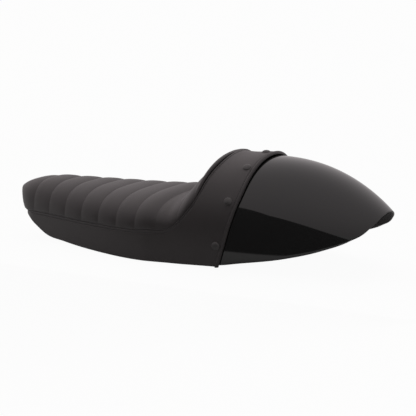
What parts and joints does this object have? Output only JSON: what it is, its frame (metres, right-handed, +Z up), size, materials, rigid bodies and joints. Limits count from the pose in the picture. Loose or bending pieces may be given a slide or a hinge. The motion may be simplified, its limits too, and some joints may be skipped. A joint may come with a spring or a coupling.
{
  "type": "motorcycle solo seat with tail cowl",
  "caption": "Solo motorcycle seat: tuck-and-roll pad on a moulded pan, with a snap-fastened skirt and hump band over the front of a gloss bullet-shaped tail cowl, open below.",
  "frame": {"origin": "middle of the four thread inserts, on their lower faces under the seat pan", "axes": "+X towards the tail, +Z up, Y across the seat; the part is the same on both sides of the XZ plane"},
  "size_m": [0.7759, 0.274, 0.2003],
  "materials": {
    "cowl_gloss": "high-gloss black lacquer",
    "pan_plastic": "moulded matte black",
    "foam": "grey moulded foam",
    "vinyl": "black satin vinyl, fine grain",
    "snap_black": "black enamelled, satin",
    "steel": "zinc-plated steel",
    "brass": "turned brass",
    "rubber": "matte black"
  },
  "bodies": {
    "root": {"cowl_shell": "cowl_gloss", "seat_pan": "pan_plastic", "seat_foam": "foam", "top_panel": "vinyl", "side_cover": "vinyl", "hem_binding": "vinyl", "snap_caps": "snap_black", "snap_sockets": "steel", "snap_studs": "steel", "snap_rivets": "steel", "cowl_screws": "steel", "cowl_washers": "steel", "cowl_nuts": "steel", "thread_inserts": "brass", "rubber_bumpers": "rubber"}
  },
  "joints": []
}
